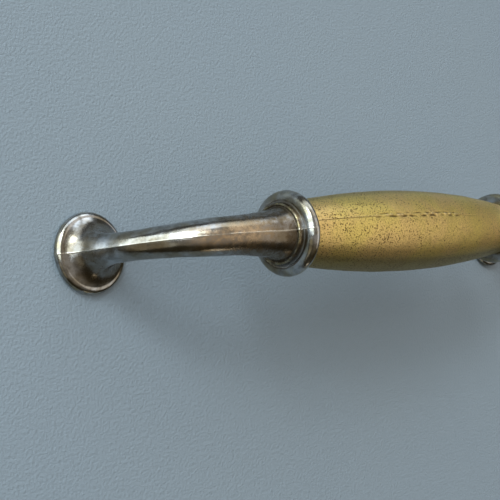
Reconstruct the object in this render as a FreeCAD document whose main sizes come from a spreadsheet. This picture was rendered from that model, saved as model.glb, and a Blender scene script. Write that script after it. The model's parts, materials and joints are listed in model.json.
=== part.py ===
import FreeCAD, Part
import math
import os
import Sketcher

# A bow handle for a drawer or cabinet front, in millimetres.
#
# Frame: the front's face is the plane Z = 0 and +Z points out of it. X runs along the handle and
# the origin is midway between the two fixing holes. The handle is symmetric about Y = 0.
#
# Six pieces. Two cast posts, each a foot, a curved neck and a round collar, stand at the ends. A
# hollow barrel, the grip, sits between the collars on their spigots. A threaded tie rod through
# the barrel draws the posts together, and a spring washer inside each end of the barrel takes up
# the part of a turn that is left when both feet lie flat.

DRIVING_SIZES = {
    # the whole handle: half the distance between the fixing holes, and the grip axis above the front
    "half_spacing": 64.0,
    "axis_height": 21.0,
    # foot: a rounded rim, a shallow groove and a cove that rises into the neck
    "foot_flat_radius": 7.07,
    "foot_rim_round": 1.0,
    "foot_rim_crest": 6.62,
    "foot_rim_height": 1.75,
    "foot_groove_radius": 6.25,
    "foot_groove_height": 1.6,
    "foot_cove_round": 6.2,
    "foot_top": 4.6,
    "foot_recess_outer": 6.1,
    "foot_recess_inner": 3.8,
    "foot_recess_depth": 0.7,
    # neck: a centreline that leaves the foot upright and reaches the collar level
    "neck_upright_lead": 5.3,
    "neck_level_lead": 14.6,
    # collar, measured from the middle of the handle and from the grip axis
    "neck_end": 40.5,
    "trumpet_end": 37.3,
    "trumpet_end_radius": 5.0,
    "trumpet_round": 11.0,
    "ring_round": 0.38,
    "ring_outer_radius": 5.6,
    "collar_groove": 36.4,
    "collar_groove_radius": 5.75,
    "bead_front": 36.35,
    "bead_front_radius": 5.95,
    "bead_crest": 35.0,
    "collar_radius": 7.9,
    "bead_front_round": 1.5,
    "bead_back_round": 1.09,
    "collar_back": 34.0,
    "bead_back_radius": 7.25,
    # spigot that centres the barrel
    "spigot_radius": 4.2,
    "spigot_end": 27.8,
    "spigot_nose_radius": 3.85,
    "spigot_nose": 28.15,
    # grip barrel
    "barrel_half_length": 33.95,
    "barrel_crown_round": 230.2,
    "barrel_shoulder_radius": 5.75,
    "barrel_shoulder": 33.7,
    "barrel_end_radius": 5.5,
    "counterbore_radius": 4.25,
    "counterbore_floor": 26.75,
    "barrel_bore_radius": 3.0,
    # tie rod and the blind holes that take it
    "rod_radius": 2.0,
    "rod_half_length": 37.5,
    "rod_chamfer": 0.4,
    "rod_hole_diameter": 4.1,
    "rod_hole_depth": 10.2,
    # spring washer
    "washer_outer_radius": 3.8,
    "washer_inner_radius": 2.1,
    "washer_thickness": 0.95,
    "washer_seat": 26.8,
    "washer_slot": 0.6,
    # fixing hole up the middle of each foot, drilled for an M4 thread
    "fixing_hole_diameter": 3.3,
    "fixing_hole_depth": 6.0,
    # centre mark that places a drilled hole
    "drill_mark_radius": 1.0,
}

# Radii of the neck's round section at equal steps along its centreline, from foot to collar.
NECK_RADII = [3.25, 2.75, 2.62, 2.61, 2.71, 2.9, 3.12, 3.31, 3.46, 3.66, 4.15]
for step, neck_radius in enumerate(NECK_RADII):
    DRIVING_SIZES[f"neck_radius_{step}"] = neck_radius

DRILL_POINT_ANGLE = 118.0

doc = FreeCAD.newDocument("bow_handle")
sheet = doc.addObject("Spreadsheet::Sheet", "Sizes")
for row, (alias, number) in enumerate(DRIVING_SIZES.items(), start=1):
    sheet.set(f"A{row}", alias)
    sheet.set(f"B{row}", str(number))
    sheet.setAlias(f"B{row}", alias)
doc.recompute()


def number_of(formula):
    """The value of a sum or difference of driving sizes, such as 'axis_height - rod_radius'."""
    total = 0.0
    sign = 1.0
    for word in formula.split():
        if word in "+-":
            sign = 1.0 if word == "+" else -1.0
        else:
            total += sign * DRIVING_SIZES.get(word, 0.0)
    return total


def cells_of(formula):
    """The same formula as an expression on the sheet's cells."""
    words = [word if word in "+-" else f"Sizes.{word}" for word in formula.split()]
    return " ".join(words)


def new_body(label):
    body = doc.addObject("PartDesign::Body", label)
    body.Label = label
    return body


def new_sketch(body, role, name):
    """A sketch on one of the body's own origin planes."""
    sketch = body.newObject("Sketcher::SketchObject", name)
    plane = next(item for item in body.Origin.OriginFeatures if item.Role == role)
    sketch.AttachmentSupport = [(plane, "")]
    sketch.MapMode = "FlatFace"
    return sketch


def bind(owner, path, formula):
    owner.setExpression(path, cells_of(formula))


def fix_coordinate(sketch, kind, edge, end, formula):
    """Holds one coordinate of a point: on the axis when the formula is '0', else at its size."""
    if formula == "0":
        axis = -2 if kind == "DistanceX" else -1
        sketch.addConstraint(Sketcher.Constraint("PointOnObject", edge, end, axis))
        return
    constraint = Sketcher.Constraint(kind, -1, 1, edge, end, number_of(formula))
    index = sketch.addConstraint(constraint)
    bind(sketch, f"Constraints[{index}]", formula)


def middle_of_arc(start, finish, radius, side):
    """The point halfway along an arc under half a turn; side is +1 where it bulges left."""
    chord = finish - start
    left = FreeCAD.Vector(-chord.y, chord.x, 0).normalize()
    rise = radius - math.sqrt(radius ** 2 - (chord.Length / 2) ** 2)
    return start + chord * 0.5 + left * (side * rise)


def draw_outline(sketch, corners, arcs):
    """A closed outline. arcs maps the number of an edge to its radius and the side it bulges to."""
    points = [FreeCAD.Vector(number_of(across), number_of(up), 0) for across, up in corners]
    starts = []
    ends = []
    for edge, start in enumerate(points):
        finish = points[(edge + 1) % len(points)]
        if edge in arcs:
            radius, side = arcs[edge]
            middle = middle_of_arc(start, finish, number_of(radius), side)
            sketch.addGeometry(Part.Arc(start, middle, finish), False)
        else:
            sketch.addGeometry(Part.LineSegment(start, finish), False)
        forward = sketch.getPoint(edge, 1).isEqual(start, 1e-6)
        starts.append(1 if forward else 2)
        ends.append(2 if forward else 1)
    for edge, (across, up) in enumerate(corners):
        previous = edge - 1 if edge else len(corners) - 1
        joint = Sketcher.Constraint("Coincident", previous, ends[previous], edge, starts[edge])
        sketch.addConstraint(joint)
        fix_coordinate(sketch, "DistanceX", edge, starts[edge], across)
        fix_coordinate(sketch, "DistanceY", edge, starts[edge], up)
        if edge in arcs:
            radius = arcs[edge][0]
            index = sketch.addConstraint(Sketcher.Constraint("Radius", edge, number_of(radius)))
            bind(sketch, f"Constraints[{index}]", radius)


def draw_circle(sketch, radius):
    """A circle about the sketch's origin."""
    circle = Part.Circle(FreeCAD.Vector(), FreeCAD.Vector(0, 0, 1), number_of(radius))
    edge = sketch.addGeometry(circle, False)
    sketch.addConstraint(Sketcher.Constraint("Coincident", edge, 3, -1, 1))
    index = sketch.addConstraint(Sketcher.Constraint("Radius", edge, number_of(radius)))
    bind(sketch, f"Constraints[{index}]", radius)


def revolve(body, sketch, name, axis, kind="PartDesign::Revolution"):
    feature = body.newObject(kind, name)
    feature.Profile = sketch
    feature.ReferenceAxis = (sketch, [axis])
    feature.Angle = 360.0
    doc.recompute()
    return feature


def drill(body, sketch, name, diameter, depth):
    """A blind hole with a drill point, away from the sketch's normal."""
    feature = body.newObject("PartDesign::Hole", name)
    feature.Profile = sketch
    doc.recompute()
    feature.ThreadType = "None"
    feature.DepthType = "Dimension"
    feature.DrillPoint = "Angled"
    feature.DrillPointAngle = DRILL_POINT_ANGLE
    bind(feature, "Diameter", diameter)
    bind(feature, "Depth", depth)
    return feature


def add_foot(body):
    sketch = new_sketch(body, "XZ_Plane", "foot_section")
    corners = [
        ("0", "0"),
        ("foot_flat_radius", "0"),
        ("foot_rim_crest", "foot_rim_height"),
        ("foot_groove_radius", "foot_groove_height"),
        ("neck_radius_0", "foot_top"),
        ("0", "foot_top"),
    ]
    arcs = {1: ("foot_rim_round", -1), 3: ("foot_cove_round", 1)}
    draw_outline(sketch, corners, arcs)
    revolve(body, sketch, "foot", "V_Axis")


def neck_section_place(fraction):
    """Expressions for the place and lean of a neck section, at a fraction of the centreline.

    The centreline is a cubic curve. Its first handle stands on the foot and its second lies on
    the grip axis, so the neck leaves the foot upright and meets the collar level.
    """
    here = fraction
    left = 1 - fraction
    reach = "(Sizes.half_spacing - Sizes.neck_end)"
    second_handle = f"({reach} - Sizes.neck_level_lead)"
    climb = "(Sizes.axis_height - Sizes.foot_top - Sizes.neck_upright_lead)"
    along = f"{3 * left * here ** 2} * {second_handle} + {here ** 3} * {reach}"
    height = (
        f"{left ** 3 + 3 * left ** 2 * here} * Sizes.foot_top"
        f" + {3 * left ** 2 * here} * Sizes.neck_upright_lead"
        f" + {3 * left * here ** 2 + here ** 3} * Sizes.axis_height"
    )
    slope_along = f"{2 * left * here} * {second_handle} + {here ** 2} * Sizes.neck_level_lead"
    slope_up = f"{left ** 2} * Sizes.neck_upright_lead + {2 * left * here} * {climb}"
    return along, height, f"atan2({slope_up}; {slope_along})"


def add_neck(body):
    sections = []
    last = len(NECK_RADII) - 1
    for step in range(last + 1):
        along, height, lean = neck_section_place(step / last)
        sketch = new_sketch(body, "YZ_Plane", f"neck_section_{step}")
        lean_axis = FreeCAD.Vector(-1, 0, 0)
        sketch.AttachmentOffset = FreeCAD.Placement(
            FreeCAD.Vector(), FreeCAD.Rotation(lean_axis, 45)
        )
        sketch.setExpression("AttachmentOffset.Base.z", along)
        sketch.setExpression("AttachmentOffset.Base.y", height)
        sketch.setExpression("AttachmentOffset.Rotation.Angle", lean)
        draw_circle(sketch, f"neck_radius_{step}")
        sections.append(sketch)
    loft = body.newObject("PartDesign::AdditiveLoft", "neck")
    loft.Profile = sections[0]
    loft.Sections = sections[1:]
    loft.Ruled = False
    doc.recompute()


def add_collar(body):
    """The trumpet end of the neck, the collar and the spigot, turned about the grip axis."""
    sketch = new_sketch(body, "XZ_Plane", "collar_section")
    bind(sketch, "AttachmentOffset.Base.x", "half_spacing")
    bind(sketch, "AttachmentOffset.Base.y", "axis_height")
    corners = [
        ("- neck_end", "0"),
        ("- neck_end", f"neck_radius_{len(NECK_RADII) - 1}"),
        ("- trumpet_end", "trumpet_end_radius"),
        ("- trumpet_end", "ring_outer_radius"),
        ("- collar_groove", "collar_groove_radius"),
        ("- bead_front", "bead_front_radius"),
        ("- bead_crest", "collar_radius"),
        ("- collar_back", "bead_back_radius"),
        ("- collar_back", "spigot_radius"),
        ("- spigot_nose", "spigot_radius"),
        ("- spigot_end", "spigot_nose_radius"),
        ("- spigot_end", "0"),
    ]
    arcs = {
        1: ("trumpet_round", -1),
        2: ("ring_round", 1),
        5: ("bead_front_round", 1),
        6: ("bead_back_round", 1),
    }
    draw_outline(sketch, corners, arcs)
    revolve(body, sketch, "collar", "H_Axis")


def build_post(label, side):
    """One cast post, in its own frame with the foot's axis at the origin; side is -1 or +1."""
    body = new_body(label)
    add_foot(body)
    add_neck(body)
    add_collar(body)

    recess = new_sketch(body, "XZ_Plane", "recess_section")
    corners = [
        ("foot_recess_inner", "0"),
        ("foot_recess_outer", "0"),
        ("foot_recess_outer", "foot_recess_depth"),
        ("foot_recess_inner", "foot_recess_depth"),
    ]
    draw_outline(recess, corners, {})
    revolve(body, recess, "underside_recess", "V_Axis", "PartDesign::Groove")

    fixing = new_sketch(body, "XY_Plane", "fixing_hole_place")
    draw_circle(fixing, "drill_mark_radius")
    drill(body, fixing, "fixing_hole", "fixing_hole_diameter", "fixing_hole_depth").Reversed = True

    rod_place = new_sketch(body, "YZ_Plane", "rod_hole_place")
    bind(rod_place, "AttachmentOffset.Base.z", "half_spacing - spigot_end")
    bind(rod_place, "AttachmentOffset.Base.y", "axis_height")
    draw_circle(rod_place, "drill_mark_radius")
    drill(body, rod_place, "rod_hole", "rod_hole_diameter", "rod_hole_depth")

    if side > 0:
        turn = FreeCAD.Rotation(FreeCAD.Vector(0, 0, 1), 180)
        body.Placement = FreeCAD.Placement(FreeCAD.Vector(), turn)
    bind(body, "Placement.Base.x", "half_spacing" if side > 0 else "- half_spacing")
    return body


def build_barrel():
    """The hollow grip: a crowned outside, a clear bore, and a counterbore for each spigot."""
    body = new_body("grip_barrel")
    sketch = new_sketch(body, "XZ_Plane", "barrel_section")
    corners = [
        ("- barrel_half_length", "counterbore_radius"),
        ("- barrel_half_length", "barrel_end_radius"),
        ("- barrel_shoulder", "barrel_shoulder_radius"),
        ("barrel_shoulder", "barrel_shoulder_radius"),
        ("barrel_half_length", "barrel_end_radius"),
        ("barrel_half_length", "counterbore_radius"),
        ("counterbore_floor", "counterbore_radius"),
        ("counterbore_floor", "barrel_bore_radius"),
        ("- counterbore_floor", "barrel_bore_radius"),
        ("- counterbore_floor", "counterbore_radius"),
    ]
    draw_outline(sketch, corners, {2: ("barrel_crown_round", 1)})
    revolve(body, sketch, "barrel", "H_Axis")
    bind(body, "Placement.Base.z", "axis_height")
    return body


def build_tie_rod():
    body = new_body("tie_rod")
    sketch = new_sketch(body, "XZ_Plane", "rod_section")
    corners = [
        ("- rod_half_length", "0"),
        ("- rod_half_length", "rod_radius - rod_chamfer"),
        ("- rod_half_length + rod_chamfer", "rod_radius"),
        ("rod_half_length - rod_chamfer", "rod_radius"),
        ("rod_half_length", "rod_radius - rod_chamfer"),
        ("rod_half_length", "0"),
    ]
    draw_outline(sketch, corners, {})
    revolve(body, sketch, "rod", "H_Axis")
    bind(body, "Placement.Base.z", "axis_height")
    return body


def build_spring_washer(label, side):
    """A split ring squeezed almost flat between a spigot and the counterbore's floor."""
    body = new_body(label)
    ring = new_sketch(body, "YZ_Plane", "ring_section")
    draw_circle(ring, "washer_outer_radius")
    draw_circle(ring, "washer_inner_radius")
    pad = body.newObject("PartDesign::Pad", "ring")
    pad.Profile = ring
    bind(pad, "Length", "washer_thickness")
    doc.recompute()

    slot = new_sketch(body, "YZ_Plane", "slot_section")
    corners = [
        ("0", "washer_inner_radius - washer_slot"),
        ("washer_slot", "washer_inner_radius - washer_slot"),
        ("washer_slot", "washer_outer_radius + washer_slot"),
        ("0", "washer_outer_radius + washer_slot"),
    ]
    draw_outline(slot, corners, {})
    cut = body.newObject("PartDesign::Pocket", "slot")
    cut.Profile = slot
    cut.Type = "ThroughAll"
    cut.Midplane = True
    doc.recompute()

    if side > 0:
        bind(body, "Placement.Base.x", "washer_seat")
    else:
        bind(body, "Placement.Base.x", "- washer_seat - washer_thickness")
    bind(body, "Placement.Base.z", "axis_height")
    return body


pieces = [
    build_post("left_post", -1),
    build_post("right_post", 1),
    build_barrel(),
    build_tie_rod(),
    build_spring_washer("left_spring_washer", -1),
    build_spring_washer("right_spring_washer", 1),
]
doc.recompute()

for item in doc.Objects:
    if "Invalid" in item.State or "Error" in item.State:
        raise RuntimeError(f"{item.Label} failed: {item.State}")
for piece in pieces:
    if piece.Shape.isNull() or not piece.Shape.isValid() or len(piece.Shape.Solids) != 1:
        raise RuntimeError(f"{piece.Label} isn't one valid solid")

os.makedirs("parts", exist_ok=True)
for piece in pieces:
    piece.Shape.exportStep(f"parts/{piece.Label}.step")
    box = piece.Shape.BoundBox
    print(f"{piece.Label}: volume {piece.Shape.Volume:.1f} mm3, "
          f"x {box.XMin:.2f} to {box.XMax:.2f}, y {box.YMin:.2f} to {box.YMax:.2f}, "
          f"z {box.ZMin:.2f} to {box.ZMax:.2f}")
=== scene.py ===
import json
import math

import bpy
import numpy as np
from mathutils import Matrix, Vector


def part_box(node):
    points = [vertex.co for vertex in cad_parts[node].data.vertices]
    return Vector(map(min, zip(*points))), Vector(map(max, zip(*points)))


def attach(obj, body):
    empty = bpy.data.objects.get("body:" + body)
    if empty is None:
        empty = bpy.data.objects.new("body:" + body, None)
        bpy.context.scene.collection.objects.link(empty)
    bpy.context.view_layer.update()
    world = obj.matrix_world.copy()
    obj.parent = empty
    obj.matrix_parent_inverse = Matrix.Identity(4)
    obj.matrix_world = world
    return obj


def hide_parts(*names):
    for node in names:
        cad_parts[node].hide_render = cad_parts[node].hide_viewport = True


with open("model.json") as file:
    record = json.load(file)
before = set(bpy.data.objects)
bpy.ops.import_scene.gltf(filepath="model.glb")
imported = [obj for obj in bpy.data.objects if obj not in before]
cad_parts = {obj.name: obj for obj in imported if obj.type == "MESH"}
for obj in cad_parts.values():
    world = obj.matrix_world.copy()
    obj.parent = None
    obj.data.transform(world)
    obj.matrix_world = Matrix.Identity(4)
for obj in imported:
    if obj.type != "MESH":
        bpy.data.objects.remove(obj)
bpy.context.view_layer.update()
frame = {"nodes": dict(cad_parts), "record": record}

# Sizes are in millimetres in the handle's own frame, and MM turns them into metres. The handle
# stands on its two feet at Z = 0, runs along X and is symmetric about Y = 0.
MM = 0.001

MOUNTS = {mount["name"]: mount for mount in frame["record"]["mounts"]}
HALF_SPACING = MOUNTS["fixing_holes"]["dims"]["spacing_x_mm"] / 2
FIXING_RADIUS = MOUNTS["fixing_holes"]["dims"]["hole_r_mm"]

barrel_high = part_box("grip_barrel")[1]
rod_low, rod_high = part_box("tie_rod")
post_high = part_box("left_post")[1]
AXIS_HEIGHT = (rod_low.z + rod_high.z) / 2 / MM
BARREL_HALF = barrel_high.x / MM
BARREL_RADIUS = barrel_high.y / MM
ROD_RADIUS = rod_high.y / MM
SPIGOT_END = -post_high.x / MM
COLLAR_RADIUS = post_high.z / MM - AXIS_HEIGHT

# Foot: points of its outline are (radius, height)
FOOT_TOP = 4.6
FOOT_EDGE = (7.07, 0)
FOOT_SHOULDER = (6.62, 1.75)
FOOT_EDGE_ROUND = 1.0
COVE_START = (6.25, 1.6)
COVE_ROUND = 6.2
UNDERSIDE_RING_RADII = (3.8, 6.1)
UNDERSIDE_RING_DEPTH = 0.7
FIXING_DEPTH = 6.0
FIXING_CHAMFER = 0.25
DRILL_SLOPE = math.tan(math.radians(59))

# Neck: its end on X, how far the handles of its centreline's curve reach up and sideways out of
# the foot and level into the collar, and its radii at equal steps
NECK_END = 40.5
NECK_UPRIGHT_LEAD = 5.2
NECK_LEAN_LEAD = 1.0
NECK_LEVEL_LEAD = 15.2
NECK_RADII = [3.25, 2.75, 2.62, 2.61, 2.71, 2.9, 3.12, 3.31, 3.46, 3.66, 4.15]

# Collar, spigot and rod hole: places are distances from the middle of the handle, and the two
# points of the groove are (X, radius) on the left post
TRUMPET_END = 37.3
TRUMPET_RADIUS = 5.0
TRUMPET_ROUND = 11.0
RING_RADIUS = 5.6
RING_ROUND = 0.38
GROOVE_FOOT = (-36.4, 5.75)
GROOVE_TOP = (-36.35, 5.95)
COLLAR_CREST = 35.0
COLLAR_FRONT_ROUND = 1.5
COLLAR_FACE = 34.0
COLLAR_FACE_RADIUS = 7.25
COLLAR_BACK_ROUND = 1.09
SPIGOT_RADIUS = 4.2
SPIGOT_CHAMFER = 0.35
ROD_HOLE_RADIUS = ROD_RADIUS + 0.05
ROD_HOLE_END = 38.0

# Barrel
COUNTERBORE_RADIUS = 4.25
COUNTERBORE_FLOOR = 26.75
BORE_RADIUS = 3.0
BARREL_SHOULDER_RADIUS = 5.75
BARREL_END_RADIUS = 5.5
BARREL_END_CHAMFER = 0.25
PARTING_ANGLE = math.radians(16)

# Points round a section
POST_SECTION = 168
BARREL_SECTION = 190

# Softening of a casting's outline: the step along it, the widths of the smoothing, and how far a
# place sinks below its surroundings or stands out of them to count as a recess or an edge
OUTLINE_STEP = 0.02
FLOW_SHARE_WIDTH = 0.8
FLOW_WIDTH = 0.9
RELIEF_WIDTH = 0.45
RECESS_FROM, RECESS_SPAN = 0.04, 0.14
EDGE_FROM, EDGE_SPAN = 0.02, 0.12

# Where a post is rubbed and where it is dark: on the neck and the foot the ranges run along the
# centreline, and the dark stretch of the neck ends at places on X
RUBBED_RISE, RUBBED_FALL = (17, 24), (28, 36)
NECK_DARK_RISE, NECK_DARK_FALL = (21, 31), (-36.9, -36.2)
FOOT_DARK_RISE, FOOT_DARK_FALL = (1.8, 2.6), (4.5, 7)

# Where the grip's parting line is ragged and where it fades, along X
RAGGED_RISE, RAGGED_FALL = (-19, -14), (7, 12)
FADING = (8, 22)

# Inputs and output of a colour Mix node: its factor, its two colours and the result
MIX_INPUTS = (0, 6, 7)
MIX_RESULT = 2

# Base colours
NICKEL_COOL = (0.43, 0.44, 0.45)
NICKEL_WARM = (0.25, 0.22, 0.165)
NICKEL_STAIN = (0.085, 0.068, 0.042)
NICKEL_PATINA = (0.115, 0.085, 0.05)
NICKEL_RUBBED = (0.75, 0.56, 0.36)
NICKEL_EDGE = (0.52, 0.44, 0.22)
NICKEL_SEAM_RUB_AND_HIGHLIGHT = (0.62, 0.58, 0.5)
NICKEL_PAINTED_SHADE = (0.07, 0.06, 0.05)
BRASS_YELLOW = (0.76, 0.6, 0.18)
BRASS_RED = (0.78, 0.56, 0.22)
BRASS_GRAIN = (0.3, 0.2, 0.07)
BRASS_PAINTED_SHADE = (0.24, 0.18, 0.045)
BRASS_BRIGHT = (0.85, 0.68, 0.4)
BRASS_PIT = (0.09, 0.055, 0.022)
ZINC_LIGHT = (0.62, 0.63, 0.64)
ZINC_DARK = (0.52, 0.52, 0.5)
PAINT_BLUE = (0.196, 0.244, 0.288)
PAINT_GREY = (0.208, 0.252, 0.286)
ROOM_WARM = (0.05, 0.042, 0.025)
ROOM_COOL = (0.12, 0.13, 0.14)
ROOM_OVERHEAD = (0.42, 0.38, 0.33)

# Each light's name, azimuth, elevation, distance, width, height, power and colour, with the angles
# in degrees and the lengths in metres
LIGHTS = [
    ("key", 155, 30, 1.5, 1.5, 1.6, 28.0, (0.82, 0.94, 1.0)),
    ("lamp", 128, 38, 1.5, 0.4, 0.4, 7.2, (0.9, 0.97, 1.0)),
    ("window", 88, 30, 1.4, 1.9, 0.6, 7.2, (0.82, 0.92, 1.0)),
    ("ceiling", 14, 52, 0.75, 1.5, 0.65, 2.25, (1.0, 0.95, 0.88)),
    ("fill", -150, 22, 1.5, 1.0, 0.8, 0.9, (1.0, 0.92, 0.7)),
    ("low_side", -80, 6, 0.5, 0.12, 0.05, 0.03, (1.0, 0.9, 0.7)),
]

# Camera: its place in millimetres, and its turns in radians, in the order they are multiplied
CAMERA_PLACE = (-174.7, -16.4, 149.7)
CAMERA_TURNS = [("Y", -0.7903), ("X", 0.0746), ("Z", -0.1153)]
CAMERA_LENS = 75.4


# ---------------------------------------------------------------- outlines and surfaces


def arc(start, finish, radius, side, steps=20):
    """Points on an arc under half a turn; side is +1 where it bulges left of its chord."""
    start, finish = np.array(start, float), np.array(finish, float)
    chord = finish - start
    length = np.hypot(*chord)
    left = np.array([-chord[1], chord[0]]) / length * side
    half_turn = math.asin(length / 2 / radius)
    centre = (start + finish) / 2 - left * radius * math.cos(half_turn)
    turns = np.linspace(-half_turn, half_turn, steps)
    spokes = np.outer(np.sin(turns), chord / length) + np.outer(np.cos(turns), left)
    return [tuple(point) for point in centre + radius * spokes]


def run_of(path):
    """Distance along a path at each of its points."""
    steps = np.linalg.norm(np.diff(path[:, :2], axis=0), axis=1)
    return np.concatenate([[0.0], np.cumsum(steps)])


def columns_at(path, run, at):
    """Every column of a path, read off at the given distances along it."""
    return np.stack([np.interp(at, run, path[:, k]) for k in range(path.shape[1])], axis=1)


def blurred(values, width, step):
    """Gaussian smoothing along a path, with both ends held."""
    reach = int(4 * width / step)
    weights = np.exp(-0.5 * (np.arange(-reach, reach + 1) * step / width) ** 2)
    weights /= weights.sum()
    before = 2 * values[0] - values[reach:0:-1]
    after = 2 * values[-1] - values[-2:-reach - 2:-1]
    padded = np.vstack([before, values, after])
    columns = range(values.shape[1])
    return np.stack([np.convolve(padded[:, k], weights, "valid") for k in columns], axis=1)


def cast_outline(stretches, softness):
    """An outline with the softened edges of a casting.

    Each stretch is (spacing, flow, points), where flow is 1 if its bends run smoothly into each
    other. The result has a row for each ring of the surface: the two coordinates, how deep it
    lies in a hollow, which sets the painted shade there, and how far it stands out on an edge.
    """
    rows = [(*point, spacing, flow) for spacing, flow, points in stretches for point in points]
    path = np.array(rows, float)
    step = OUTLINE_STEP
    run = run_of(path)
    fine = columns_at(path, run, np.arange(0, run[-1] + step, step))
    fine[:, :2] = blurred(fine[:, :2], softness, step)
    flow_share = blurred(fine[:, 3:], FLOW_SHARE_WIDTH, step)
    fine[:, :2] += flow_share * (blurred(fine[:, :2], FLOW_WIDTH, step) - fine[:, :2])
    broad = blurred(fine[:, :2], RELIEF_WIDTH, step)
    heading = np.gradient(fine[:, :2], axis=0)
    heading /= np.linalg.norm(heading, axis=1)[:, None] + 1e-9
    outward = np.stack([-heading[:, 1], heading[:, 0]], axis=1)
    sunk = ((broad - fine[:, :2]) * outward).sum(axis=1)
    # The deeper a ring lies in a hollow, the more painted shade its colour takes
    painted_recess_shade = np.clip((sunk - RECESS_FROM) / RECESS_SPAN, 0, 1)
    edge = np.clip((-sunk - EDGE_FROM) / EDGE_SPAN, 0, 1)
    wanted = np.concatenate([[0.0], np.cumsum(step / fine[1:, 2])])
    at = np.linspace(0, wanted[-1], int(wanted[-1]) + 2)
    return columns_at(np.column_stack([fine[:, :2], painted_recess_shade, edge]), wanted, at)


def ripple(points, size, seed, waves=14):
    """Smooth unevenness of about the given size, from -1 to 1: waves in seeded directions."""
    random = np.random.RandomState(seed)
    total = np.zeros(points.shape[:-1])
    for _ in range(waves):
        direction = random.normal(size=3)
        direction *= 2 * math.pi / size * random.uniform(0.6, 1.5) / np.linalg.norm(direction)
        total += np.sin(points @ direction + random.uniform(0, 2 * math.pi))
    return total / math.sqrt(waves)


def spread_angles(count, crowding=0.93):
    """Angles round a section, crowded towards 0 and half a turn, where the parting lines run."""
    even = np.linspace(0, 2 * math.pi, count, endpoint=False)
    return even - crowding / 2 * np.sin(2 * even)


def surface_normals(grid):
    """Outward normals of a grid of rings."""
    along = np.gradient(grid, axis=0)
    around = np.roll(grid, -1, axis=1) - np.roll(grid, 1, axis=1)
    normals = np.cross(along, around)
    return normals / (np.linalg.norm(normals, axis=2, keepdims=True) + 1e-9)


def smoothstep(low, high, value):
    share = np.clip((value - low) / (high - low), 0, 1)
    return share * share * (3 - 2 * share)


def plateau(value, rise, fall):
    """0 outside and 1 inside, with a smooth slope over each of the two ranges."""
    return smoothstep(*rise, value) * (1 - smoothstep(*fall, value))


def bell(distance, width):
    """1 at no distance, falling to 0 on both sides over a few widths."""
    return np.exp(-((distance / width) ** 2))


def wrapped(angle, period):
    """The angle less whole periods, from minus half a period to half a period."""
    return (angle + period / 2) % period - period / 2


def skin(name, grid, masks, closed_loop=False):
    """A closed mesh over a grid of rings, given in millimetres.

    The first and last rings close into one point each, unless the rings themselves form a loop.
    masks are values for each point or each ring, kept as attributes that the materials read.
    """
    rings, around = grid.shape[:2]
    index = np.arange(rings * around).reshape(rings, around)
    following = np.roll(index, -1, axis=0) if closed_loop else index[1:]
    here = index if closed_loop else index[:-1]
    quads = np.stack(
        [here, np.roll(here, -1, axis=1), np.roll(following, -1, axis=1), following], axis=2
    ).reshape(-1, 4)
    mesh = bpy.data.meshes.new(name)
    mesh.from_pydata((grid.reshape(-1, 3) * MM).tolist(), [], quads.tolist())
    for mask, values in masks.items():
        layer = mesh.attributes.new(mask, "FLOAT", "POINT")
        values = np.broadcast_to(values, (rings, around)).astype(np.float32)
        layer.data.foreach_set("value", values.ravel())
    piece = bpy.data.objects.new(name, mesh)
    bpy.context.scene.collection.objects.link(piece)
    if not closed_loop:
        weld = piece.modifiers.new("close_ends", "WELD")
        weld.merge_threshold = 1e-7
        apply_modifiers(piece)
    piece.data.shade_smooth()
    return piece


def apply_modifiers(piece):
    graph = bpy.context.evaluated_depsgraph_get()
    finished = bpy.data.meshes.new_from_object(piece.evaluated_get(graph))
    piece.modifiers.clear()
    piece.data = finished


# ---------------------------------------------------------------- posts


def through(values, share):
    """A smooth curve through equally spaced values; share runs from 0 to 1."""
    padded = [2 * values[0] - values[1], *values, 2 * values[-1] - values[-2]]
    at = share * (len(values) - 1)
    first = min(int(at), len(values) - 2)
    part = at - first
    a, b, c, d = padded[first:first + 4]
    bend = 2 * a - 5 * b + 4 * c - d + part * (3 * (b - c) + d - a)
    return b + 0.5 * part * (c - a + part * bend)


def neck_curve(steps=200):
    """Places and leans along the neck's centreline, from the top of the foot to the collar."""
    reach = HALF_SPACING - NECK_END
    handles = np.array([
        (0, FOOT_TOP),
        (NECK_LEAN_LEAD, FOOT_TOP + NECK_UPRIGHT_LEAD),
        (reach - NECK_LEVEL_LEAD, AXIS_HEIGHT),
        (reach, AXIS_HEIGHT),
    ])
    share = np.linspace(0, 1, steps)[:, None]
    rest = 1 - share
    p0, p1, p2, p3 = handles
    places = rest**3 * p0 + 3 * rest**2 * share * p1 + 3 * rest * share**2 * p2 + share**3 * p3
    slopes = rest**2 * (p1 - p0) + 2 * rest * share * (p2 - p1) + share**2 * (p3 - p2)
    return places, np.arctan2(slopes[:, 1], slopes[:, 0])


NECK_PLACES, NECK_LEANS = neck_curve()
NECK_RUN = run_of(NECK_PLACES)
NECK_LENGTH = NECK_RUN[-1]


def run_at_collar(along):
    """Distance along the post's centreline at a place measured from the middle of the handle."""
    return FOOT_TOP + NECK_LENGTH + along + NECK_END


def centreline(run):
    """Places and leans along the post: up the foot, round the neck and level at the collar."""
    level = HALF_SPACING - NECK_END + run - FOOT_TOP - NECK_LENGTH
    on_neck = np.clip(run - FOOT_TOP, 0, NECK_LENGTH)
    along = np.interp(on_neck, NECK_RUN, NECK_PLACES[:, 0])
    height = np.interp(on_neck, NECK_RUN, NECK_PLACES[:, 1])
    along = np.where(run > FOOT_TOP + NECK_LENGTH, level, along)
    height = np.where(run < FOOT_TOP, run, height)
    leaning = smoothstep(FOOT_TOP - 1.8, FOOT_TOP + 1.0, run)
    lean = np.interp(on_neck, NECK_RUN, NECK_LEANS)
    return along, height, lean + (1 - leaning) * (math.pi / 2 - lean)


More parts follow.
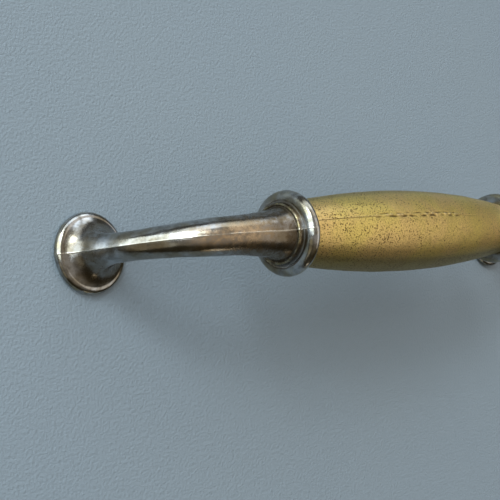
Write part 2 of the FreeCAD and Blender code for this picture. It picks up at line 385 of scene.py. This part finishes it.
def post_outline():
    """The casting's outline, as distance along its centreline and radius."""
    ring_inner, ring_outer = UNDERSIDE_RING_RADII
    fixing_tip = FIXING_DEPTH + FIXING_RADIUS / DRILL_SLOPE
    fixing_hole = [(fixing_tip, 0), (FIXING_DEPTH, FIXING_RADIUS), (FIXING_CHAMFER, FIXING_RADIUS)]
    underside = [(0, FIXING_RADIUS + FIXING_CHAMFER), (0, ring_inner)]
    underside += [(UNDERSIDE_RING_DEPTH, ring_inner), (UNDERSIDE_RING_DEPTH, ring_outer)]
    underside += [(0, ring_outer)]
    rim = [(up, out) for out, up in arc(FOOT_EDGE, FOOT_SHOULDER, FOOT_EDGE_ROUND, -1)]
    cove_top = (NECK_RADII[0], FOOT_TOP)
    cove = [(up, out) for out, up in arc(COVE_START, cove_top, COVE_ROUND, 1)]
    half_rim, half_cove = len(rim) // 2, len(cove) // 2
    neck_radii = [through(NECK_RADII, share) for share in np.linspace(0, 1, len(NECK_RUN))]
    neck = list(zip(FOOT_TOP + NECK_RUN, neck_radii))[1:-1]
    trumpet_end = (-TRUMPET_END, TRUMPET_RADIUS)
    crest = (-COLLAR_CREST, COLLAR_RADIUS)
    trumpet = arc((-NECK_END, NECK_RADII[-1]), trumpet_end, TRUMPET_ROUND, -1)
    ring = arc(trumpet_end, (-TRUMPET_END, RING_RADIUS), RING_ROUND, 1)
    groove = [GROOVE_FOOT, GROOVE_TOP]
    bead = arc(GROOVE_TOP, crest, COLLAR_FRONT_ROUND, 1)
    bead += arc(crest, (-COLLAR_FACE, COLLAR_FACE_RADIUS), COLLAR_BACK_ROUND, 1)
    back = [(-COLLAR_FACE, SPIGOT_RADIUS), (-SPIGOT_END - SPIGOT_CHAMFER, SPIGOT_RADIUS)]
    back += [(-SPIGOT_END, SPIGOT_RADIUS - SPIGOT_CHAMFER)]
    rod_hole = [(-SPIGOT_END, ROD_HOLE_RADIUS), (-ROD_HOLE_END, ROD_HOLE_RADIUS)]
    rod_hole += [(-ROD_HOLE_END - ROD_HOLE_RADIUS / DRILL_SLOPE, 0)]

    def by_run(points):
        return [(run_at_collar(along), radius) for along, radius in points]

    return [
        (0.6, 0, fixing_hole),
        (0.2, 0, underside),
        (0.09, 0, rim[:half_rim]),
        (0.09, 0.7, rim[half_rim:] + cove[:half_cove]),
        (0.14, 1, cove[half_cove:]),
        (0.26, 1, neck),
        (0.16, 0, by_run(trumpet)),
        (0.06, 0, by_run(ring + groove)),
        (0.085, 0, by_run(bead)),
        (0.5, 0, by_run(back)),
        (0.8, 0, by_run(rod_hole)),
    ]


def build_post(name, side, seed):
    """One cast post. side is -1 for the left one and +1 for the right one, turned round."""
    rings = cast_outline(post_outline(), softness=0.05)
    run, radius, painted_recess_shade, edge = rings.T
    from_middle = run - run_at_collar(0)
    along, height, lean = centreline(run)
    angles = spread_angles(POST_SECTION)
    centres = np.stack([along, np.zeros_like(along), height], axis=1)[:, None, :]
    crest = np.stack([-np.sin(lean), np.zeros_like(lean), np.cos(lean)], axis=1)[:, None, :]
    across = np.array([0.0, 1.0, 0.0])
    turn = angles[None, :, None]
    grid = centres + radius[:, None, None] * (np.cos(turn) * crest + np.sin(turn) * across)
    normals = surface_normals(grid)

    # The rings that show run from the foot's lower edge to the face of the collar
    rows = np.arange(len(run))
    first = np.flatnonzero((run < 0.3) & (radius > 6.6))[0]
    last = np.flatnonzero((from_middle > -34.05) & (radius < 7.15))[0]
    seen = plateau(rows, (first, first + 4), (last - 4, last))[:, None]

    # A parting line along the crest and along the belly, on a slight shoulder
    from_line = radius[:, None] * np.abs(wrapped(angles, math.pi))[None, :]
    lumps = 0.75 + 0.35 * ripple(grid, 2.2, seed)
    ridge = 0.035 * lumps * bell(from_line, 0.075)
    shoulder = 0.09 * (1 - 0.8 * smoothstep(-37.5, -36, from_middle))[:, None]
    shoulder = shoulder * np.exp(-from_line / 1.1)
    uneven = 0.018 * ripple(grid, 6.0, seed + 1) + 0.006 * ripple(grid, 1.7, seed + 2)
    grid = grid + normals * (seen * (ridge + shoulder + uneven))[..., None]

    from_top = np.abs(wrapped(angles + 0.15, 2 * math.pi))[None, :]
    upper_neck = plateau(run, RUBBED_RISE, RUBBED_FALL)[:, None]
    patina = smoothstep(*NECK_DARK_RISE, run) * (1 - smoothstep(*NECK_DARK_FALL, from_middle))
    patina += 0.65 * plateau(run, FOOT_DARK_RISE, FOOT_DARK_FALL)
    masks = {
        # Painted shade in the grooves and coves, darker the deeper they are
        "painted_recess_shade": painted_recess_shade[:, None],
        "edge": edge[:, None],
        "rubbed": upper_neck * bell(from_top, 0.6),
        "patina": patina[:, None],
        # Lighter along the parting line: rubbed plating, and partly a painted highlight on its ridge
        "seam_rub_and_highlight": seen * bell(from_line, 0.12),
    }
    grid[..., 0] -= HALF_SPACING
    if side > 0:
        grid[..., :2] *= -1
    return skin(name, grid, masks)


# ---------------------------------------------------------------- grip


def grip_outline():
    """The barrel's outline and bore, as distance along X and radius, closed into a loop."""
    half = BARREL_HALF - BARREL_END_CHAMFER
    rise = BARREL_RADIUS - BARREL_SHOULDER_RADIUS
    crown_radius = (half**2 + rise**2) / 2 / rise
    shoulders = (-half, BARREL_SHOULDER_RADIUS), (half, BARREL_SHOULDER_RADIUS)
    outside = arc(*shoulders, crown_radius, 1, steps=80)
    end = [(BARREL_HALF, BARREL_END_RADIUS), (BARREL_HALF, COUNTERBORE_RADIUS)]
    floor = [(COUNTERBORE_FLOOR, COUNTERBORE_RADIUS), (COUNTERBORE_FLOOR, BORE_RADIUS)]
    bore = end + floor + [(-x, r) for x, r in reversed(end + floor)]
    return [(0.2, 0, outside), (0.9, 0, bore), (0.2, 0, outside[:1])]


def build_grip():
    """The hollow barrel, with the parting line that the mould left along its outside."""
    rings = cast_outline(grip_outline(), softness=0.06)[:-1]
    along, radius = rings.T[:2]
    angles = spread_angles(BARREL_SECTION) + PARTING_ANGLE
    turn = angles[None, :]
    place, reach = along[:, None], radius[:, None]
    grid = np.stack([
        place * np.ones_like(turn),
        reach * np.sin(turn),
        reach * np.cos(turn),
    ], axis=2)
    normals = surface_normals(grid)
    seen = ((radius > 5.6) & (np.abs(along) < BARREL_HALF - 0.02))[:, None]

    # The line is ragged along the middle of the upper side, and fades towards the right end
    upper = (np.cos(angles - PARTING_ANGLE) > 0)[None, :]
    ragged = plateau(place, RAGGED_RISE, RAGGED_FALL) * upper
    fading = 1 - smoothstep(*FADING, place)
    on_line = np.stack([place, 0 * place, 0 * place], axis=2)
    beads = 0.7 * ripple(on_line, 1.1, 41) + 0.5 * ripple(on_line, 3.2, 46)
    chips = 0.7 * ripple(on_line, 1.4, 42) + 0.6 * ripple(on_line, 4.1, 47)
    wander = 0.09 * ripple(on_line, 4.0, 43) * ragged
    line = reach * wrapped(angles - PARTING_ANGLE, math.pi)[None, :] - wander

    fine_ridge = 0.05 * bell(line, 0.09) * (1 - 0.7 * ragged)
    bead_ridge = 0.11 * ragged * np.clip(0.35 + beads, 0, 1.4) * bell(line, 0.2)
    groove = -0.06 * bell(line + 0.17, 0.09) * (1 - ragged)
    lower_cut = ragged * np.clip(0.9 + chips, 0, 1.5) * bell(line + 0.32, 0.17)
    upper_cut = ragged * np.clip(0.4 - chips, 0, 1.4) * bell(line - 0.34, 0.15)
    step = 0.02 * np.tanh(line / 0.15) * bell(line, 1.2)
    mark = fine_ridge + bead_ridge + groove - 0.15 * lower_cut - 0.1 * upper_cut + step
    uneven = 0.02 * ripple(grid, 9.0, 44) + 0.004 * ripple(grid, 1.6, 45)
    grid = grid + normals * (seen * (mark * fading + uneven))[..., None]

    dirt = np.clip(lower_cut + 0.8 * upper_cut - groove / 0.09, 0, 1) * fading
    bright = np.clip(bead_ridge / 0.09 + fine_ridge / 0.09, 0, 1) * fading
    crowded = 0.55 + 0.45 * (1 - smoothstep(-30, 6, place))
    # Painted shade: both flanks, above and below the parting line, are darkened, and the pits crowd
    # there too
    sideways = wrapped(angles, 2 * math.pi)[None, :]
    painted_flank_shade = 0.8 * smoothstep(0.9, 1.25, sideways) + smoothstep(0.74, 0.99, -sideways)
    masks = {
        "dirt": dirt * seen,
        "bright": bright * seen,
        "crowded": np.maximum(crowded, painted_flank_shade) * seen,
        "painted_flank_shade": painted_flank_shade * seen,
    }
    grid[..., 2] += AXIS_HEIGHT
    return skin("grip_barrel_casting", grid, masks, closed_loop=True)


# ---------------------------------------------------------------- materials


class Nodes:
    """A node tree. Calls to node() add a node and fill its inputs with values or links."""

    def __init__(self, tree):
        self.tree = tree

    def feed(self, socket, value):
        """Fill an input with a link, a colour or a number."""
        if isinstance(value, bpy.types.NodeSocket):
            self.tree.links.new(value, socket)
        elif isinstance(value, tuple):
            socket.default_value = (*value, 1)
        else:
            socket.default_value = value

    def set(self, node, inputs):
        for name, value in inputs.items():
            self.feed(node.inputs[name], value)

    def node(self, kind, inputs=None, **settings):
        node = self.tree.nodes.new(kind)
        for name, value in settings.items():
            setattr(node, name, value)
        self.set(node, inputs or {})
        return node

    def between(self, value, low, high):
        """0 at low and 1 at high, smoothly."""
        inputs = {"Value": value, "From Min": low, "From Max": high}
        node = self.node("ShaderNodeMapRange", inputs, interpolation_type="SMOOTHSTEP")
        return node.outputs["Result"]

    def math(self, operation, first, second):
        node = self.node("ShaderNodeMath", operation=operation)
        self.feed(node.inputs[0], first)
        self.feed(node.inputs[1], second)
        return node.outputs[0]

    def times(self, first, second):
        return self.math("MULTIPLY", first, second)

    def plus(self, first, second):
        return self.math("ADD", first, second)

    def larger(self, first, second):
        return self.math("MAXIMUM", first, second)

    def blend(self, share, first, second):
        """A colour between two colours."""
        node = self.node("ShaderNodeMix", data_type="RGBA")
        for index, value in zip(MIX_INPUTS, (share, first, second)):
            self.feed(node.inputs[index], value)
        return node.outputs[MIX_RESULT]

    def layered(self, colour, layers):
        """A colour under layers, each given as its share and its colour, from the bottom up."""
        for share, layer in layers:
            colour = self.blend(share, colour, layer)
        return colour


class Finish(Nodes):
    """A node material, whose textures keep to the object's own coordinates."""

    def __init__(self, name, **constants):
        self.material = bpy.data.materials.new(name)
        self.material.use_nodes = True
        super().__init__(self.material.node_tree)
        self.shader = self.tree.nodes["Principled BSDF"]
        self.place = self.tree.nodes.new("ShaderNodeTexCoord").outputs["Object"]
        self.set(self.shader, constants)

    def mask(self, name):
        return self.node("ShaderNodeAttribute", attribute_name=name).outputs["Fac"]

    def noise(self, size_mm, detail=3.0, roughness=0.5):
        """Noise with features of about size_mm, from 0 to 1."""
        inputs = {"Vector": self.place, "Scale": 1 / (size_mm * MM)}
        inputs.update({"Detail": detail, "Roughness": roughness})
        return self.node("ShaderNodeTexNoise", inputs).outputs["Fac"]

    def specks(self, spacing_mm, low, high):
        """1 inside scattered round specks, 0 between them."""
        inputs = {"Vector": self.place, "Scale": 1 / (spacing_mm * MM)}
        distance = self.node("ShaderNodeTexVoronoi", inputs).outputs["Distance"]
        return self.between(distance, high, low)

    def bump(self, height, depth_mm, below=None):
        inputs = {"Height": height, "Strength": 1.0, "Distance": depth_mm * MM}
        if below is not None:
            inputs["Normal"] = below
        return self.node("ShaderNodeBump", inputs).outputs["Normal"]


def antique_nickel():
    """Dark polished plating, rubbed to bronze on the crests, with painted shade darkening the
    grooves.
    """
    finish = Finish("antique_nickel", Metallic=1.0)
    patina, painted_recess_shade = finish.mask("patina"), finish.mask("painted_recess_shade")
    clouds = finish.between(finish.noise(5.0), 0.35, 0.65)
    grain = finish.noise(0.3, detail=4.0, roughness=0.65)
    streaks = finish.between(finish.noise(1.3, detail=4.0), 0.4, 0.7)
    mottle = finish.between(finish.noise(0.9, detail=5.0, roughness=0.6), 0.35, 0.7)
    stains = finish.between(finish.noise(1.8, detail=5.0, roughness=0.65), 0.42, 0.72)
    darkened = finish.times(patina, finish.plus(0.65, finish.times(mottle, 0.35)))
    rubbed = finish.times(finish.mask("rubbed"), finish.plus(0.3, finish.times(mottle, 0.6)))
    edges = finish.times(finish.mask("edge"), streaks)
    colour = finish.layered(finish.blend(clouds, NICKEL_COOL, NICKEL_WARM), [
        (finish.times(stains, 0.7), NICKEL_STAIN),
        (darkened, NICKEL_PATINA),
        (rubbed, NICKEL_RUBBED),
        (finish.times(edges, 0.6), NICKEL_EDGE),
        # Rubbed plating along the parting line, partly a painted highlight on its ridge
        (finish.times(finish.mask("seam_rub_and_highlight"), 0.5), NICKEL_SEAM_RUB_AND_HIGHLIGHT),
        # Painted shade: grooves and coves darkened as if in shadow
        (finish.times(painted_recess_shade, 0.6), NICKEL_PAINTED_SHADE),
    ])
    dull = finish.plus(finish.times(patina, 0.1), finish.times(painted_recess_shade, 0.25))
    dull = finish.plus(dull, finish.times(mottle, 0.09))
    roughness = finish.plus(dull, 0.14)
    normal = finish.bump(grain, 0.008)
    finish.set(finish.shader, {"Base Color": colour, "Roughness": roughness, "Normal": normal})
    return finish.material


def antique_brass():
    """Semi-matte brass plating, speckled with fine dark pits."""
    finish = Finish("antique_brass", Metallic=1.0)
    clouds = finish.between(finish.noise(9.0), 0.35, 0.65)
    grain = finish.noise(0.28, detail=4.0, roughness=0.7)
    patches = finish.between(finish.noise(3.0, detail=3.0), 0.3, 0.7)
    crowd = finish.times(finish.mask("crowded"), finish.plus(0.55, patches))
    pits = finish.larger(finish.specks(0.62, 0.12, 0.3), finish.specks(0.4, 0.16, 0.36))
    pits = finish.times(pits, crowd)
    pits = finish.larger(pits, finish.times(finish.specks(0.27, 0.2, 0.45), 0.35))
    pits = finish.larger(pits, finish.specks(1.5, 0.07, 0.15))
    pits = finish.larger(pits, finish.mask("dirt"))
    brass = finish.blend(clouds, BRASS_YELLOW, BRASS_RED)
    grainy = finish.blend(0.4, brass, BRASS_GRAIN)
    brass = finish.blend(finish.between(grain, 0.3, 0.7), grainy, brass)
    colour = finish.layered(brass, [
        # Painted shade along both flanks of the grip
        (finish.times(finish.mask("painted_flank_shade"), 0.85), BRASS_PAINTED_SHADE),
        (finish.times(finish.mask("bright"), 0.5), BRASS_BRIGHT),
        (finish.times(pits, 0.9), BRASS_PIT),
    ])
    roughness = finish.plus(finish.times(grain, 0.15), 0.33)
    roughness = finish.plus(roughness, finish.times(pits, 0.2))
    normal = finish.bump(grain, 0.014)
    normal = finish.bump(finish.math("SUBTRACT", 1.0, pits), 0.03, below=normal)
    finish.set(finish.shader, {"Base Color": colour, "Roughness": roughness, "Normal": normal})
    return finish.material


def zinc_plated_steel():
    finish = Finish("zinc_plated_steel", Metallic=1.0)
    clouds = finish.between(finish.noise(3.0), 0.35, 0.65)
    grain = finish.noise(0.25, detail=4.0)
    colour = finish.blend(clouds, ZINC_LIGHT, ZINC_DARK)
    roughness = finish.plus(finish.times(grain, 0.2), 0.25)
    normal = finish.bump(grain, 0.004)
    finish.set(finish.shader, {"Base Color": colour, "Roughness": roughness, "Normal": normal})
    return finish.material


def painted_surface():
    """The pale blue-grey paint that the handle stands on, with a fine roller texture."""
    finish = Finish("painted_surface", Roughness=0.5)
    texture = finish.noise(0.55, detail=3.0, roughness=0.55)
    colour = finish.blend(finish.noise(60.0, detail=2.0), PAINT_BLUE, PAINT_GREY)
    normal = finish.bump(texture, 0.2)
    finish.set(finish.shader, {"Base Color": colour, "Normal": normal})
    return finish.material


def dress(piece, material):
    piece.data.materials.clear()
    piece.data.materials.append(material)


# ---------------------------------------------------------------- scene

nickel = antique_nickel()
steel = zinc_plated_steel()

for label, side, seed in (("left_post", -1, 11), ("right_post", 1, 23)):
    post = build_post(f"{label}_casting", side, seed)
    dress(post, nickel)
    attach(post, "root")
    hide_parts(label)

grip = build_grip()
dress(grip, antique_brass())
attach(grip, "root")
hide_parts("grip_barrel")

for label in ("tie_rod", "left_spring_washer", "right_spring_washer"):
    dress(frame["nodes"][label], steel)


def add_floor():
    """A level square of the painted surface, 3 m across."""
    half = 1.5
    mesh = bpy.data.meshes.new("floor")
    corners = [(-half, -half, 0), (half, -half, 0), (half, half, 0), (-half, half, 0)]
    mesh.from_pydata(corners, [], [(0, 1, 2, 3)])
    floor = bpy.data.objects.new("floor", mesh)
    bpy.context.scene.collection.objects.link(floor)
    dress(floor, painted_surface())


def add_light(name, azimuth, elevation, distance, width, height, power, colour):
    """A soft rectangular light that faces the handle; azimuth is counted from +X towards +Y."""
    turn, lift = math.radians(azimuth), math.radians(elevation)
    level = math.cos(lift)
    away = Vector((math.cos(turn) * level, math.sin(turn) * level, math.sin(lift)))
    light = bpy.data.lights.new(name, "AREA")
    light.shape = "RECTANGLE"
    light.size, light.size_y = width, height
    light.energy = power
    light.color = colour
    lamp = bpy.data.objects.new(name, light)
    lamp.location = away * distance + Vector((0, 0, AXIS_HEIGHT * MM))
    lamp.rotation_euler = away.to_track_quat("Z", "Y").to_euler()
    bpy.context.scene.collection.objects.link(lamp)


def add_surroundings():
    """A dim room: cool and lighter on the +Y side, dark and warm on the other, warm grey overhead."""
    world = bpy.data.worlds.new("studio")
    bpy.context.scene.world = world
    world.use_nodes = True
    nodes = Nodes(world.node_tree)
    place = nodes.node("ShaderNodeTexCoord").outputs["Generated"]
    split = nodes.node("ShaderNodeSeparateXYZ", {"Vector": place}).outputs
    sides = nodes.blend(nodes.between(split["Y"], -0.5, 0.6), ROOM_WARM, ROOM_COOL)
    room = nodes.blend(nodes.between(split["Z"], 0.45, 0.95), sides, ROOM_OVERHEAD)
    nodes.feed(world.node_tree.nodes["Background"].inputs["Color"], room)


def add_camera():
    """Looks down the handle from beyond its left foot, from above and a little to one side."""
    camera = bpy.data.objects.new("camera", bpy.data.cameras.new("camera"))
    camera.data.lens = CAMERA_LENS
    camera.data.sensor_width = 36.0
    camera.data.clip_start = 0.01
    turn = Matrix.Identity(4)
    for axis, angle in CAMERA_TURNS:
        turn = turn @ Matrix.Rotation(angle, 4, axis)
    camera.matrix_world = Matrix.Translation(Vector(CAMERA_PLACE) * MM) @ turn
    bpy.context.scene.collection.objects.link(camera)
    bpy.context.scene.camera = camera


add_floor()
for light_values in LIGHTS:
    add_light(*light_values)
add_surroundings()
add_camera()
bpy.context.scene.view_settings.view_transform = "Standard"
